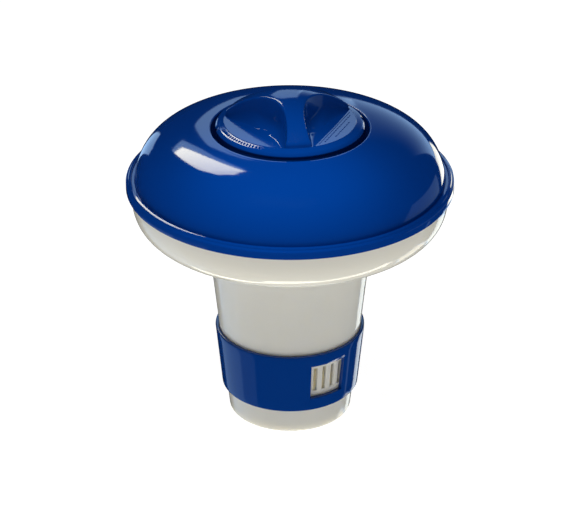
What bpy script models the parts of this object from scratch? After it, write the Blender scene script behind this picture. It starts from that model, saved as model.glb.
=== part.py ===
"""Floating chlorine dispenser for 25 mm tablets.

A blue and white float carries a tapered canister that hangs in the water. A sleeve with a window
turns on the canister to cover or free its water slots, and a three-lead screw cap closes the top.
Lengths below are in millimetres; the origin is the middle of the canister's base, +Z is up and
-Y is the front.
"""

import math

import bmesh
import bpy
from mathutils import Matrix, Vector

MM = 0.001

# Float
FLANGE_RADIUS = 63.5
FLANGE_BOTTOM = 97.9
FLANGE_TOP = 102.2
DOME_RADIUS = 60.8
DOME_HEIGHT = 38.6
DOME_BASE = 84.2
DOME_POWER = 4.0
SHELL_WALL = 1.8
BOWL_RADIUS = 61.6
BOWL_DEPTH = 24.77
BOWL_TOP = 101.55
BOWL_POWER = 4.08
BOWL_RIM = 99.2
SEAM_SPIGOT = 61.9
SEAM_SHOULDER = 100.6
HUB_JOIN = 38.0
HUB_FILLET = 3.6
HUB_TOP = 86.0
HUB_OUTSIDE = 36.2
HUB_ROOT = 81.2
HUB_GAP = 0.3

# Well in the crown of the float, and the neck that stands in it
MOUTH_RADIUS = 30.8
WELL_RADIUS = 30.4
WELL_FLOOR = 112.0
WELL_UNDERSIDE = 109.8
WELL_OUTSIDE = 32.1
NECK_RADIUS = 25.0
NECK_BORE = 23.4
NECK_TOP = 119.6

# Canister
CANISTER_RADIUS = 24.3
CANISTER_TAPER = 0.105
CANISTER_WALL = 1.5
CANISTER_FLOOR = 1.6
CANISTER_TOP = 118.9
SLOT_WIDTH = 1.7
SLOT_BOTTOM = 19.2
SLOT_TOP = 29.8
SLOT_PITCH = 8.2
SLOTS_PER_SIDE = 4
DRAIN_COUNT = 6
DRAIN_RADIUS = 1.6
DRAIN_CIRCLE = 13.0
RING_GROOVE = (33.5, 35.5)
RING_GROOVE_DEPTH = 0.5

# Flow control ring
RING_BOTTOM = 11.1
RING_TOP = 37.0
RING_RADIUS = 27.2
RING_TAPER = 0.098
RING_GAP = 0.35
RING_BEAD = 0.45
WINDOW_WIDTH = 15.1
WINDOW_BOTTOM = 16.7
WINDOW_TOP = 31.8
WINDOW_BEARING = 32.1

# Cap
CAP_RIM_RADIUS = 28.65
CAP_RIM_HEIGHT = 123.0
RIM_CURVE = 6.0
RIM_SLOPES = (48.0, 12.0)
SKIRT_RADIUS = 28.3
SKIRT_BORE = 26.6
SKIRT_BOTTOM = 112.6
CAP_CEILING = 121.6
CROWN_RADIUS = 25.3
CROWN_SPHERE = 38.0
CAP_TOP = 136.0
SCOOP_BEARING = 217.5
SCOOP_APEX = 7.45
SCOOP_CURVE = 0.0248
SCOOP_HALF_SPAN = 24.0
SCOOP_REACH = 34.0
SCOOP_FLOOR = 123.3
SCOOP_FILLET = 4.0
SCOOP_DRAFT = 0.6
SHELF_HEIGHT = 124.95
SHELF_CHORD = 17.4

# Three-lead thread between neck and cap
THREAD_STARTS = 3
THREAD_LEAD = 18.0
THREAD_THICKNESS = 1.2
THREAD_BACKLASH = 0.3
THREAD_BASE = 113.6
NECK_THREAD_TIP = 26.1
NECK_THREAD_SPAN = 100.0
CAP_THREAD_TIP = 25.45
CAP_THREAD_START = 30.0
CAP_THREAD_SPAN = 60.0
THREAD_ROOT = 0.3

# Seals: the round ones by middle radius, height and cord radius, the flat ones by inner and outer radius
HUB_SEAL = (33.7, 81.3, 0.6)
WELL_SEAL = (33.38, 113.2, 0.95)
SEAM_SEAL = (60.0, 61.5)
CAP_GASKET = (23.6, 26.2)
SEAL_CLEARANCE = 0.3

TURN_STEPS = 64
SEAL_STEPS = 48

BLUE = ("float_blue", (0.004, 0.055, 0.29), 0.22)
CAP_BLUE = ("cap_blue", (0.004, 0.05, 0.27), 0.26)
RING_BLUE = ("ring_blue", (0.004, 0.045, 0.24), 0.28)
WHITE = ("float_white", (0.60, 0.58, 0.50), 0.3)
CREAM = ("canister_white", (0.56, 0.54, 0.45), 0.32)
RUBBER = ("seal_rubber", (0.03, 0.03, 0.032), 0.7)


def clear_scene():
    for item in list(bpy.data.objects):
        bpy.data.objects.remove(item, do_unlink=True)


def plastic(finish):
    name, colour, roughness = finish
    material = bpy.data.materials.get(name) or bpy.data.materials.new(name)
    material.use_nodes = True
    shader = material.node_tree.nodes["Principled BSDF"]
    shader.inputs["Base Color"].default_value = (*colour, 1.0)
    shader.inputs["Roughness"].default_value = roughness
    shader.inputs["Metallic"].default_value = 0.0
    return material


def add_object(name, bm, finish=None, smooth_angle=35.0):
    """Turn a bmesh drawn in millimetres into an object in metres."""
    bmesh.ops.scale(bm, vec=(MM, MM, MM), verts=bm.verts)
    bmesh.ops.recalc_face_normals(bm, faces=bm.faces)
    mesh = bpy.data.meshes.new(name)
    bm.to_mesh(mesh)
    bm.free()
    item = bpy.data.objects.new(name, mesh)
    bpy.context.scene.collection.objects.link(item)
    if finish:
        mesh.materials.append(plastic(finish))
        mesh.shade_smooth()
        mesh.set_sharp_from_angle(angle=math.radians(smooth_angle))
    else:
        item.hide_render = True
        item.display_type = "WIRE"
    return item


def turned(name, outline, finish, steps=TURN_STEPS):
    """Spin a closed outline of (radius, height) points about the Z axis."""
    bm = bmesh.new()
    points = [bm.verts.new((radius, 0.0, height)) for radius, height in outline]
    for here, there in zip(points, points[1:] + points[:1]):
        if here.co.x > 0 or there.co.x > 0:
            bm.edges.new((here, there))
    bmesh.ops.spin(bm, geom=bm.verts[:] + bm.edges[:], axis=(0, 0, 1), cent=(0, 0, 0),
                   angle=math.tau, steps=steps, use_merge=True)
    bmesh.ops.remove_doubles(bm, verts=bm.verts, dist=0.001)
    return add_object(name, bm, finish)


def o_ring(name, place, finish, sides=6):
    ring_radius, height, cord_radius = place
    outline = []
    for side in range(sides):
        angle = math.tau * (side + 0.5) / sides
        outline.append((ring_radius + cord_radius * math.cos(angle),
                        height + cord_radius * math.sin(angle)))
    return turned(name, outline, finish, SEAL_STEPS)


def flat_seal(name, radii, low, high):
    """A flat ring that fills the space between two faces but for the clearance."""
    inner, outer = radii
    bottom, top = low + SEAL_CLEARANCE, high - SEAL_CLEARANCE
    turned(name, [(inner, bottom), (outer, bottom), (outer, top), (inner, top)], RUBBER, SEAL_STEPS)


def arc(centre, radius, start, end, steps):
    """Points on a circle in the (radius, height) plane, angles in degrees from outwards."""
    points = []
    for step in range(steps + 1):
        angle = math.radians(start + (end - start) * step / steps)
        points.append((centre[0] + radius * math.cos(angle), centre[1] + radius * math.sin(angle)))
    return points


def dome_height(radius, inset=0.0):
    """Height of the float's crown, or of its inner face at an inset, at a radius."""
    share = 1.0 - (radius / (DOME_RADIUS - inset)) ** DOME_POWER
    return DOME_BASE + (DOME_HEIGHT - inset) * share ** (1.0 / DOME_POWER)


def dome_radius(height, inset=0.0):
    share = 1.0 - ((height - DOME_BASE) / (DOME_HEIGHT - inset)) ** DOME_POWER
    return (DOME_RADIUS - inset) * share ** (1.0 / DOME_POWER)


def bowl_radius(height, inset=0.0):
    share = 1.0 - ((BOWL_TOP - height) / (BOWL_DEPTH - inset)) ** BOWL_POWER
    return (BOWL_RADIUS - inset) * share ** (1.0 / BOWL_POWER)


def bowl_height(radius, inset=0.0):
    share = 1.0 - (radius / (BOWL_RADIUS - inset)) ** BOWL_POWER
    return BOWL_TOP - (BOWL_DEPTH - inset) * share ** (1.0 / BOWL_POWER)


def canister_radius(height):
    return CANISTER_RADIUS + CANISTER_TAPER * height


def spread(first, last, steps):
    return [first + (last - first) * step / steps for step in range(steps + 1)]


def crown_rows(inset, outer_radius, inner_radius, steps=6):
    """Rows of the crown from its flank in to its mouth: even in height, then even in radius."""
    turn_radius = 0.86 * DOME_RADIUS
    rows = [(dome_radius(height, inset), height)
            for height in spread(dome_height(outer_radius, inset), dome_height(turn_radius, inset), steps)]
    rows += [(radius, dome_height(radius, inset))
             for radius in spread(turn_radius, inner_radius, steps)[1:]]
    return rows


def bowl_rows(inset, top, inner_radius, steps=5):
    """Rows of the bowl from its straight side down and in to its hub."""
    turn_radius = 0.9 * BOWL_RADIUS
    rows = [(bowl_radius(height, inset), height)
            for height in spread(top, bowl_height(turn_radius, inset), steps)]
    rows += [(radius, bowl_height(radius, inset))
             for radius in spread(turn_radius, inner_radius, steps - 1)[1:]]
    return rows


def helical_ridges(name, root, tip, first, span, drop):
    """Three ridges of a right-hand thread between two radii, each a closed bar."""
    bm = bmesh.new()
    steps = max(4, round(span / 7.5))
    half_root = THREAD_THICKNESS / 2
    half_tip = half_root * 0.7
    for start in range(THREAD_STARTS):
        rings = []
        for step in range(steps + 1):
            turn = first + span * step / steps
            height = THREAD_BASE - drop + THREAD_LEAD * turn / 360.0
            angle = math.radians(turn + 360.0 * start / THREAD_STARTS)
            section = ((root, -half_root), (tip, -half_tip), (tip, half_tip), (root, half_root))
            rings.append([bm.verts.new((radius * math.cos(angle), radius * math.sin(angle), height + rise))
                          for radius, rise in section])
        join_rings(bm, rings)
    return add_object(name, bm)


def join_rings(bm, rings):
    """Skin a row of equal loops and close both ends."""
    for low, high in zip(rings, rings[1:]):
        for here in range(len(low)):
            there = (here + 1) % len(low)
            bm.faces.new((low[here], low[there], high[there], high[here]))
    bm.faces.new(rings[0][::-1])
    bm.faces.new(rings[-1])


def radial_blocks(name, bearings, width, bottom, top, inner, outer):
    """Blocks that point outwards, each at a bearing in degrees from the front towards +X."""
    bm = bmesh.new()
    for bearing in bearings:
        turn = Matrix.Rotation(math.radians(bearing - 90.0), 4, "Z")
        middle = turn @ Vector(((inner + outer) / 2, 0.0, (bottom + top) / 2))
        size = Matrix.Diagonal((outer - inner, width, top - bottom, 1.0))
        bmesh.ops.create_cube(bm, size=1.0, matrix=Matrix.Translation(middle) @ turn @ size)
    return add_object(name, bm)


def scoop_edge(inset, chord=None, points=14):
    """Outline of a finger scoop: a parabola round its apex, moved in, and closed on the outside."""
    edge = []
    for across in spread(-SCOOP_HALF_SPAN, SCOOP_HALF_SPAN, points):
        slope = 2 * SCOOP_CURVE * across
        length = math.hypot(1.0, slope)
        along = SCOOP_APEX + SCOOP_CURVE * across ** 2 + inset / length
        sideways = across - inset * slope / length
        if chord and along > chord:
            reach = math.sqrt((chord - SCOOP_APEX - inset) / SCOOP_CURVE)
            along, sideways = chord, math.copysign(reach - inset, across)
        edge.append((along, sideways))
    if not chord:
        edge += [(SCOOP_REACH, edge[-1][1]), (SCOOP_REACH, edge[0][1])]
    return edge


def scoop_levels():
    """(inset, height) pairs of a scoop's wall: drafted side, then a concave fillet to the floor."""
    levels = [(SCOOP_DRAFT + SCOOP_FILLET * (1 - math.cos(angle)),
               SCOOP_FLOOR + SCOOP_FILLET * (1 - math.sin(angle)))
              for angle in (math.radians(step * 22.5) for step in range(4, -1, -1))]
    return levels + [(0.0, CAP_TOP + 2.0)]


def inset_at(height):
    levels = scoop_levels()
    for (inset_low, low), (inset_high, high) in zip(levels, levels[1:]):
        if low <= height <= high:
            return inset_low + (inset_high - inset_low) * (height - low) / (high - low)
    return 0.0


def scoop_cutters():
    """Two cutters: the part of each scoop above its shelf, and the hollow below inside the chord."""
    heights = [level[1] for level in scoop_levels()]
    upper = [SHELF_HEIGHT] + [height for height in heights if height > SHELF_HEIGHT]
    lower = [height for height in heights if height < SHELF_HEIGHT] + [SHELF_HEIGHT, SHELF_HEIGHT + 1.0]
    plans = (("scoop_upper_cutter", upper, None), ("scoop_floor_cutter", lower, SHELF_CHORD))
    cutters = []
    for name, rows, chord in plans:
        bm = bmesh.new()
        for scoop in range(3):
            turn = Matrix.Rotation(math.radians(SCOOP_BEARING + 120.0 * scoop), 4, "Z")
            rings = [[bm.verts.new(turn @ Vector((along, across, height)))
                      for along, across in scoop_edge(inset_at(height), chord)] for height in rows]
            join_rings(bm, rings)
        cutters.append(add_object(name, bm))
    return cutters


def cut(item, cutter, operation="DIFFERENCE"):
    modifier = item.modifiers.new(f"{operation.lower()}_{cutter.name}", "BOOLEAN")
    modifier.operation = operation
    modifier.solver = "EXACT"
    modifier.object = cutter


def make_top_shell():
    """Blue crown with its stepped flange, the well in the middle and the threaded neck."""
    flange = [(SEAM_SPIGOT, FLANGE_BOTTOM), (FLANGE_RADIUS - 0.3, FLANGE_BOTTOM),
              (FLANGE_RADIUS, FLANGE_BOTTOM + 0.3), (FLANGE_RADIUS, FLANGE_TOP - 1.3),
              (FLANGE_RADIUS - 0.95, FLANGE_TOP - 0.85), (FLANGE_RADIUS - 1.25, FLANGE_TOP - 0.25),
              (FLANGE_RADIUS - 3.1, FLANGE_TOP)]
    outside = crown_rows(0.0, dome_radius(FLANGE_TOP + 0.15), MOUTH_RADIUS + 0.9)
    lip = arc((WELL_RADIUS + 0.9, dome_height(MOUTH_RADIUS) - 0.95), 0.9, 110.0, 180.0, 3)
    well = [(WELL_RADIUS, WELL_FLOOR + 0.6), (WELL_RADIUS - 0.6, WELL_FLOOR), (NECK_RADIUS, WELL_FLOOR)]
    neck = [(NECK_RADIUS, NECK_TOP - 0.3), (NECK_RADIUS - 0.3, NECK_TOP), (NECK_BORE, NECK_TOP),
            (NECK_BORE, WELL_UNDERSIDE)]
    underside = [(WELL_OUTSIDE, WELL_UNDERSIDE)]
    inside = crown_rows(SHELL_WALL, dome_radius(SEAM_SHOULDER, SHELL_WALL), WELL_OUTSIDE, 3)[::-1]
    outline = flange + outside + lip + well + neck + underside + inside + [(SEAM_SPIGOT, SEAM_SHOULDER)]
    shell = turned("float_top_shell", outline, BLUE)
    thread = helical_ridges("neck_thread_cutter", NECK_RADIUS - THREAD_ROOT, NECK_THREAD_TIP,
                            0.0, NECK_THREAD_SPAN, 0.0)
    cut(shell, thread, "UNION")


def make_bottom_shell():
    """White bowl that closes the float, with a filleted hub round the canister."""
    bore = canister_radius(0.0) + HUB_GAP
    seal_radius, seal_height, seal_cord = HUB_SEAL
    groove_half = seal_cord + 0.4
    groove_radius = seal_radius + seal_cord + SEAL_CLEARANCE
    outside = bowl_rows(0.0, FLANGE_BOTTOM, HUB_JOIN)
    fillet = arc((HUB_JOIN, bowl_height(HUB_JOIN) - HUB_FILLET), HUB_FILLET, 100.0, 180.0, 4)
    hub_bottom = fillet[-1][1] - 0.6
    inside = bowl_rows(SHELL_WALL, FLANGE_BOTTOM, HUB_JOIN + 0.5, 3)[::-1]
    hub = [(fillet[-1][0], hub_bottom), (bore + CANISTER_TAPER * hub_bottom, hub_bottom)]
    for height in (seal_height - groove_half, seal_height + groove_half):
        edge = (bore + CANISTER_TAPER * height, height)
        floor = (groove_radius, height)
        hub += [edge, floor] if height < seal_height else [floor, edge]
    hub += [(bore + CANISTER_TAPER * HUB_TOP, HUB_TOP), (HUB_OUTSIDE, HUB_TOP),
            (HUB_OUTSIDE + 0.2, HUB_ROOT), (HUB_OUTSIDE + 1.0, HUB_ROOT - 1.0)]
    rim = [(BOWL_RADIUS - SHELL_WALL, BOWL_RIM), (BOWL_RADIUS, BOWL_RIM)]
    turned("float_bottom_shell", outside + fillet + hub + inside + rim, WHITE)


def make_canister():
    """Tapered tube with a closed base, water slots on two sides and drain holes."""
    groove_low, groove_high = RING_GROOVE
    outside = [(0.0, 0.0), (CANISTER_RADIUS - 1.1, 0.0), (CANISTER_RADIUS - 0.25, 0.45),
               (canister_radius(1.3), 1.3)]
    outside += [(canister_radius(height), height) for height in (RING_BOTTOM, groove_low)]
    outside += [(canister_radius(height) - RING_GROOVE_DEPTH, height)
                for height in (groove_low + 0.2, groove_high - 0.2)]
    outside += [(canister_radius(height), height) for height in (groove_high, 60.0, 80.0, 100.0)]
    outside += [(canister_radius(CANISTER_TOP) - 0.1, CANISTER_TOP)]
    inside = [(canister_radius(height) - CANISTER_WALL, height)
              for height in (CANISTER_TOP, 80.0, 36.0, 3.2)]
    inside += [(canister_radius(0.0) - CANISTER_WALL - 1.4, CANISTER_FLOOR), (0.0, CANISTER_FLOOR)]
    canister = turned("tablet_canister", outside + inside, CREAM)
    offsets = [(slot - (SLOTS_PER_SIDE - 1) / 2) * SLOT_PITCH for slot in range(SLOTS_PER_SIDE)]
    bearings = [WINDOW_BEARING + 1.9 + side + offset for side in (0.0, 180.0) for offset in offsets]
    cut(canister, radial_blocks("slot_cutter", bearings, SLOT_WIDTH, SLOT_BOTTOM, SLOT_TOP, 21.0, 32.0))
    drains = bmesh.new()
    for drain in range(DRAIN_COUNT):
        angle = math.tau * drain / DRAIN_COUNT
        place = (DRAIN_CIRCLE * math.cos(angle), DRAIN_CIRCLE * math.sin(angle), CANISTER_FLOOR / 2)
        bmesh.ops.create_cone(drains, cap_ends=True, segments=12, radius1=DRAIN_RADIUS,
                              radius2=DRAIN_RADIUS, depth=4.0, matrix=Matrix.Translation(place))
    cut(canister, add_object("drain_cutter", drains))


def make_flow_ring():
    """Sleeve that turns on the canister, with an inner bead in the canister's groove."""
    def outer(height):
        return RING_RADIUS + RING_TAPER * (height - RING_BOTTOM)

    def inner(height):
        return canister_radius(height) + RING_GAP

    bead = sum(RING_GROOVE) / 2
    outline = [(outer(RING_BOTTOM) - 0.3, RING_BOTTOM), (outer(RING_BOTTOM), RING_BOTTOM + 0.3),
               (outer(RING_TOP), RING_TOP - 0.3), (outer(RING_TOP) - 0.3, RING_TOP),
               (inner(RING_TOP), RING_TOP), (inner(bead + 0.5), bead + 0.5),
               (inner(bead) - RING_BEAD, bead + 0.25), (inner(bead) - RING_BEAD, bead - 0.25),
               (inner(bead - 0.5), bead - 0.5), (inner(RING_BOTTOM), RING_BOTTOM)]
    ring = turned("flow_control_ring", outline, RING_BLUE)
    bearings = (WINDOW_BEARING, WINDOW_BEARING + 180.0)
    cut(ring, radial_blocks("window_cutter", bearings, WINDOW_WIDTH, WINDOW_BOTTOM, WINDOW_TOP, 22.0, 34.0))


def make_cap():
    """Screw cap: threaded skirt, rounded rim and a crown left as three ribs by three scoops."""
    sphere_centre = CAP_TOP - CROWN_SPHERE
    crown = [(radius, sphere_centre + math.sqrt(CROWN_SPHERE ** 2 - radius ** 2))
             for radius in spread(CROWN_RADIUS, 0.0, 9)]
    outer_slope, inner_slope = RIM_SLOPES
    rim_centre = (CAP_RIM_RADIUS - RIM_CURVE * math.sin(math.radians(outer_slope)),
                  CAP_RIM_HEIGHT - RIM_CURVE * math.cos(math.radians(outer_slope)))
    outline = [(SKIRT_RADIUS, SKIRT_BOTTOM), (SKIRT_RADIUS, CAP_RIM_HEIGHT - 0.5),
               (CAP_RIM_RADIUS, CAP_RIM_HEIGHT - 0.2)]
    outline += arc(rim_centre, RIM_CURVE, 90.0 - outer_slope, 90.0 - inner_slope, 3)
    outline += crown
    outline += [(0.0, CAP_CEILING), (SKIRT_BORE, CAP_CEILING), (SKIRT_BORE, SKIRT_BOTTOM)]
    cap = turned("cap", outline, CAP_BLUE)
    thread = helical_ridges("cap_thread_cutter", SKIRT_BORE + THREAD_ROOT, CAP_THREAD_TIP,
                            CAP_THREAD_START, CAP_THREAD_SPAN, THREAD_THICKNESS + THREAD_BACKLASH)
    cut(cap, thread, "UNION")
    for cutter in scoop_cutters():
        cut(cap, cutter)


def make_seals():
    flat_seal("cap_gasket", CAP_GASKET, NECK_TOP, CAP_CEILING)
    flat_seal("seam_seal", SEAM_SEAL, BOWL_RIM, SEAM_SHOULDER)
    o_ring("well_seal", WELL_SEAL, RUBBER)
    o_ring("hub_seal", HUB_SEAL, RUBBER)


clear_scene()
make_top_shell()
make_bottom_shell()
make_canister()
make_flow_ring()
make_cap()
make_seals()
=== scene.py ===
import math

import bmesh
import bpy
from mathutils import Matrix, Vector


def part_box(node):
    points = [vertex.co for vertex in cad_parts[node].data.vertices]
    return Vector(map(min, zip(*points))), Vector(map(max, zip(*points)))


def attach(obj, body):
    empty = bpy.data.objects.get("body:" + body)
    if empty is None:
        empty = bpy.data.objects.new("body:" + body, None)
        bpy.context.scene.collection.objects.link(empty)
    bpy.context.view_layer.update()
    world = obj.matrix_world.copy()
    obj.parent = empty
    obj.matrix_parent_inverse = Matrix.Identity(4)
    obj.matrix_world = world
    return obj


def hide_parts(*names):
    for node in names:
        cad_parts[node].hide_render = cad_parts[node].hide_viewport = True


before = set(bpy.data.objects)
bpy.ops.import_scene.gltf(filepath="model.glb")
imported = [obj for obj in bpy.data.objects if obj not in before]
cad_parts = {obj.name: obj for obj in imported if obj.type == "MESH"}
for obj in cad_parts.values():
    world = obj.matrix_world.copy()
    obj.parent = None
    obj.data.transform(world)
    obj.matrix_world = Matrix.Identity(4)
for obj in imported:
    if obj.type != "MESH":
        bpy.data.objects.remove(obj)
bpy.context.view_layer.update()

MM = 0.001


def node_box(name):
    """Corners of a CAD node's box, in millimetres."""
    low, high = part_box(name)
    return Vector(low) / MM, Vector(high) / MM


# Sizes here are in millimetres; those of the lamps, the floor and the camera are in metres.

# Places read from the frame
SHELL_HIGH = node_box("float_top_shell")[1]
BOWL_LOW, BOWL_HIGH = node_box("float_bottom_shell")
CANISTER_HIGH = node_box("tablet_canister")[1]
RING_LOW, RING_HIGH = node_box("flow_control_ring")
CAP_LOW, CAP_HIGH = node_box("cap")
GASKET_LOW, GASKET_HIGH = node_box("cap_gasket")

# Float shells
FLANGE_RADIUS = SHELL_HIGH.x
FLANGE_BOTTOM = 97.9
LEDGE_HEIGHT = FLANGE_BOTTOM + 4.3
DOME_RADIUS = FLANGE_RADIUS - 2.7
DOME_HEIGHT = 38.6
DOME_BASE = FLANGE_BOTTOM - 13.7
DOME_POWER = 4.0
SHELL_WALL = 1.8
BOWL_RADIUS = BOWL_HIGH.x
BOWL_RIM = BOWL_HIGH.z
BOWL_TOP = BOWL_RIM + 2.35
BOWL_DEPTH = 24.77
BOWL_POWER = 4.08
BOWL_FOOT = 40.0
SEAM_SPIGOT = 61.9
SEAM_SHOULDER = BOWL_RIM + 1.4
HUB_GAP = 0.3
HUB_FILLET_RADIUS = 34.45
HUB_FILLET_START = 38.0
HUB_OUTSIDE = 36.2
HUB_TOP = 86.0
HUB_FOOT = 79.6
HUB_GROOVE_RADIUS = 34.6
HUB_GROOVE_LOW, HUB_GROOVE_HIGH = 80.3, 82.3

# Well and neck
WELL_RADIUS = 30.4
WELL_OUTSIDE = 32.1
WELL_FLOOR = 112.0
WELL_UNDERSIDE = SHELL_HIGH.z - 12.3
NECK_RADIUS = 25.0
NECK_BORE = 23.4
NECK_TOP = GASKET_LOW.z - 0.3

# Canister and flow ring
CANISTER_RADIUS = 24.3
CANISTER_TAPER = 0.105
CANISTER_WALL = 1.5
CANISTER_FLOOR = 1.6
SLOT_BOTTOM, SLOT_TOP = 19.2, 29.8
SLOT_WIDTH = 1.7
SLOT_PITCH = 8.2
SLOTS_PER_SIDE = 4
SLOTS_TURN = 1.9
GROOVE_LOW, GROOVE_HIGH = 33.5, 35.5
WINDOW_BEARING = 32.1
WINDOW_WIDTH = 15.1
WINDOW_BOTTOM, WINDOW_TOP = 16.7, 31.8
DRAIN_COUNT = 6
DRAIN_RADIUS = 1.6
DRAIN_CIRCLE = 13.0
RING_TAPER = 0.098
RING_GAP = 0.1
RING_BEAD = 0.15

# Cap
CAP_RIM_RADIUS = CAP_HIGH.x
CAP_RIM_HEIGHT = 123.0
RIM_LEAN = 0.8
RIM_ROUNDING = 1.05
CAP_TOP = CAP_HIGH.z
SKIRT_BOTTOM = CAP_LOW.z
SKIRT_RADIUS = CAP_RIM_RADIUS - 0.35
SKIRT_BORE = 26.6
CAP_CEILING = GASKET_HIGH.z + 0.3
CROWN_RADIUS = 25.3
CROWN_SPHERE = 38.0
SCOOP_BEARINGS = (217.5, 337.5, 97.5)
SCOOP_APEX = 7.45
SCOOP_CURVE = 0.0248
SCOOP_FLOOR = 123.3
SCOOP_FILLET = 6.0
SCOOP_CORNER = (19.15, 16.59)
SCOOP_MIDDLE = (13.6, 0.0)
SHELF_HEIGHT = 124.95
SHELF_CHORD = 17.4
NOTCH_BEARINGS = (9.0, 189.0)
NOTCH_HALF_ANGLE = 1.9
NOTCH_DEPTH = 1.0

# Marks on the cap
TICK_COUNT = 17
TICK_FIRST, TICK_PITCH = 198.0, 2.9
TICK_RADII = (26.1, 27.1)
DASH_ROWS = ((18.3, 15.5, 31.0), (19.6, 13.0, 1.1), (21.6, 7.0, 1.5))
DASH_GAP = 0.7

# Threads: the radii of their crests, and the first angle and the span of a start in degrees
THREAD_STARTS = 3
THREAD_LEAD = 18.0
THREAD_BASE = 113.6
THREAD_THICKNESS = 1.2
NECK_THREAD_CREST, CAP_THREAD_CREST = 26.05, 25.5
NECK_THREAD_ARC = (0.0, 100.0)
CAP_THREAD_ARC = (30.0, 60.0)

# Seals
GASKET_BORE = 23.6
SEAM_SEAL_BORE = 60.0


# ---------------------------------------------------------------- mesh helpers

def finish_piece(name, bm, body, material, nodes=(), sharp=40.0):
    """Turn a bmesh drawn in millimetres into a smooth-shaded piece that rides on a body."""
    bmesh.ops.scale(bm, vec=(MM, MM, MM), verts=bm.verts)
    bmesh.ops.recalc_face_normals(bm, faces=bm.faces)
    mesh = bpy.data.meshes.new(name)
    bm.to_mesh(mesh)
    bm.free()
    mesh.materials.append(material)
    mesh.shade_smooth()
    mesh.set_sharp_from_angle(angle=math.radians(sharp))
    piece = bpy.data.objects.new(name, mesh)
    bpy.context.scene.collection.objects.link(piece)
    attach(piece, body)
    if nodes:
        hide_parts(*nodes)
    return piece


def rounded(points, steps=5):
    """Closed outline of (radius, height, corner radius) points with its corners filleted."""
    outline = []
    count = len(points)
    for index, (x, z, corner) in enumerate(points):
        here = Vector((x, z))
        if corner <= 0:
            outline.append((x, z))
            continue
        before = Vector(points[index - 1][:2]) - here
        after = Vector(points[(index + 1) % count][:2]) - here
        before_length, after_length = before.length, after.length
        before.normalize()
        after.normalize()
        half = before.angle(after) / 2
        setback = min(corner / math.tan(half), 0.49 * before_length, 0.49 * after_length)
        radius = setback * math.tan(half)
        centre = here + (before + after).normalized() * radius / math.sin(half)
        start = here + before * setback - centre
        end = here + after * setback - centre
        sweep = start.angle_signed(end)
        for step in range(steps + 1):
            turn = Matrix.Rotation(-sweep * step / steps, 2)
            spot = centre + turn @ start
            outline.append((spot.x, spot.y))
    return outline


def spread(first, last, steps):
    return [first + (last - first) * step / steps for step in range(steps + 1)]


def around(count):
    return [math.tau * step / count for step in range(count)]


def turned_rings(bm, outline, angles):
    """Vertices of an outline turned about Z: one list of vertices for each outline point."""
    rings = []
    for radius, height in outline:
        if radius < 1e-6:
            rings.append([bm.verts.new((0.0, 0.0, height))])
        else:
            rings.append([bm.verts.new((radius * math.cos(angle), radius * math.sin(angle), height))
                          for angle in angles])
    return rings


def skin(bm, low, high, skip=()):
    """Faces between two rings of vertices; either may be a single point on the axis."""
    count = max(len(low), len(high))
    for here in range(count):
        if here in skip:
            continue
        there = (here + 1) % count
        corners = [low[here % len(low)], low[there % len(low)],
                   high[there % len(high)], high[here % len(high)]]
        corners = list(dict.fromkeys(corners))
        if len(corners) > 2:
            bm.faces.new(corners)


def turned(outline, count=256):
    bm = bmesh.new()
    rings = turned_rings(bm, outline, around(count))
    for low, high in zip(rings, rings[1:] + rings[:1]):
        if len(low) > 1 or len(high) > 1:
            skin(bm, low, high)
    return bm


def dome_height(radius, inset=0.0):
    share = 1.0 - (radius / (DOME_RADIUS - inset)) ** DOME_POWER
    return DOME_BASE + (DOME_HEIGHT - inset) * share ** (1.0 / DOME_POWER)


def dome_radius(height, inset=0.0):
    share = 1.0 - ((height - DOME_BASE) / (DOME_HEIGHT - inset)) ** DOME_POWER
    return (DOME_RADIUS - inset) * share ** (1.0 / DOME_POWER)


def bowl_radius(height, inset=0.0):
    share = 1.0 - ((BOWL_TOP - height) / (BOWL_DEPTH - inset)) ** BOWL_POWER
    return (BOWL_RADIUS - inset) * share ** (1.0 / BOWL_POWER)


def bowl_height(radius, inset=0.0):
    share = 1.0 - (radius / (BOWL_RADIUS - inset)) ** BOWL_POWER
    return BOWL_TOP - (BOWL_DEPTH - inset) * share ** (1.0 / BOWL_POWER)


def canister_radius(height):
    return CANISTER_RADIUS + CANISTER_TAPER * height


def plain(rows):
    return [(radius, height, 0.0) for radius, height in rows]


def crown_rows(inset, outer_radius, inner_radius, steps):
    turn = 0.88 * DOME_RADIUS
    rows = [(dome_radius(height, inset), height)
            for height in spread(dome_height(outer_radius, inset), dome_height(turn, inset), steps)]
    return rows + [(radius, dome_height(radius, inset)) for radius in spread(turn, inner_radius, steps)[1:]]


def bowl_rows(inset, top, inner_radius, steps):
    turn = 0.9 * BOWL_RADIUS
    rows = [(bowl_radius(height, inset), height)
            for height in spread(top, bowl_height(turn, inset), steps)]
    return rows + [(radius, bowl_height(radius, inset)) for radius in spread(turn, inner_radius, steps)[1:]]


# ---------------------------------------------------------------- materials

def node_at(tree, kind, **settings):
    node = tree.nodes.new(kind)
    for key, value in settings.items():
        setattr(node, key, value)
    return node


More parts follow.
